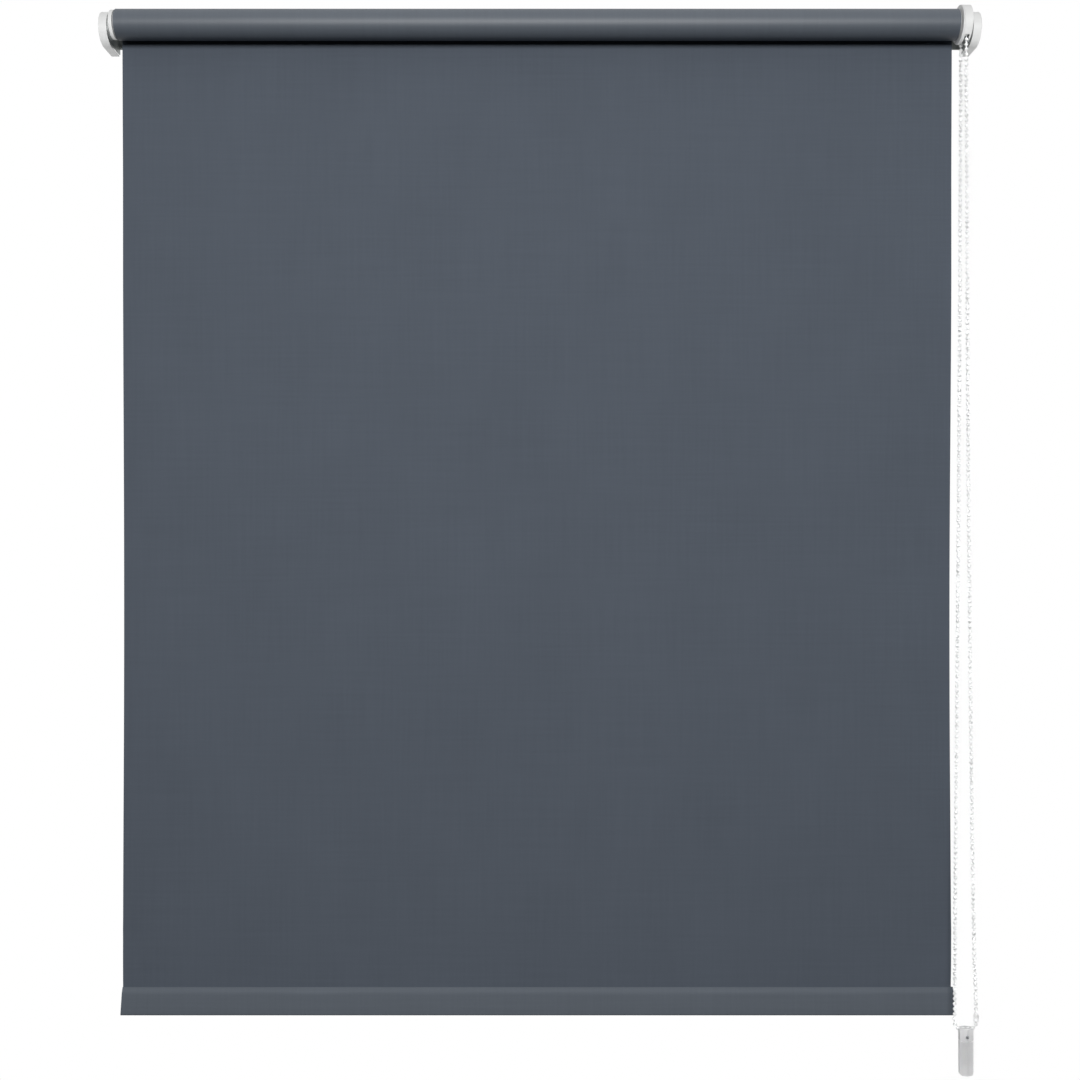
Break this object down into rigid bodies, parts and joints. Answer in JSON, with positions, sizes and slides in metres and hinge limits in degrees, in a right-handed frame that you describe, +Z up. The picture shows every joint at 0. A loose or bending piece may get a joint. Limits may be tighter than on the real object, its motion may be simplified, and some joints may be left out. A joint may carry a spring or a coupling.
{
  "type": "roller blind",
  "caption": "Chain-operated roller blind with dark blackout fabric, end brackets, a spring clutch, a hem bar and a weighted bead-chain loop.",
  "frame": {"origin": "on the wall plane, level with the roll's axis, at the centre of the four wall screw holes", "axes": "+X right along the roll towards the chain, +Y into the wall, +Z up"},
  "size_m": [1.0433, 0.0522, 1.2732],
  "materials": {
    "zinc_steel": "dull zinc plate",
    "bright_steel": "bright zinc plate",
    "white_plastic": "semi-gloss moulded white",
    "grey_nylon": "matt moulded grey",
    "tube_aluminium": "mill finish",
    "blackout_fabric": "fine plain weave, coated back",
    "tape": "satin",
    "chain_plastic": "semi-gloss white",
    "clear_grey": "translucent grey",
    "slug_steel": "plain"
  },
  "bodies": {
    "root": {"idle_bracket": "zinc_steel", "idle_collar": "white_plastic", "idle_rivets": "bright_steel", "idle_cover": "white_plastic", "drive_bracket": "zinc_steel", "chain_guard": "white_plastic", "guard_cap": "white_plastic", "guard_screws": "bright_steel", "drive_cover": "white_plastic", "clutch_core": "grey_nylon", "core_clip": "bright_steel", "wrap_spring_inner": "bright_steel", "wrap_spring_outer": "bright_steel", "clutch_screw": "bright_steel", "fabric_sheet": "blackout_fabric"},
    "roller": {"roller_tube": "tube_aluminium", "fabric_roll": "blackout_fabric", "fabric_tape": "tape", "idle_plug": "grey_nylon", "idle_plug_cap": "grey_nylon", "drive_plug": "grey_nylon", "chain_wheel": "grey_nylon", "idle_spring": "bright_steel"},
    "pin": {"idle_pin": "bright_steel"},
    "hem": {"hem_pocket": "blackout_fabric", "bottom_bar": "tube_aluminium", "bar_cap_left": "grey_nylon", "bar_cap_right": "grey_nylon"},
    "chain": {"bead_chain": "chain_plastic", "chain_wrap": "chain_plastic", "chain_connector": "chain_plastic", "weight_cap": "chain_plastic", "weight_shell_left": "clear_grey", "weight_shell_right": "clear_grey", "weight_slug": "slug_steel", "weight_screw": "bright_steel"}
  },
  "joints": [
    {"name": "roller_spin", "type": "hinge", "parent": "root", "child": "roller", "pos_m": [0, -0.03, 0], "axis": [1, 0, 0], "range_deg": [0, 3240]},
    {"name": "bar_lift", "type": "slide", "parent": "root", "child": "hem", "axis": [0, 0, 1], "range_m": [0, 1.1], "deforming": ["fabric_sheet"]},
    {"name": "idle_pin_slide", "type": "slide", "parent": "roller", "child": "pin", "axis": [1, 0, 0], "range_m": [0, 0.0045], "stiffness_N_per_m": 600, "springref_m": -0.004, "deforming": ["idle_spring"]},
    {"name": "chain_swing", "type": "hinge", "parent": "root", "child": "chain", "pos_m": [0.5048, -0.03, 0], "axis": [1, 0, 0], "range_deg": [-6, 0.5]}
  ],
  "couplings": [
    {"joint": "bar_lift", "follows": "roller_spin", "m_per_rad": 0.0194}
  ]
}
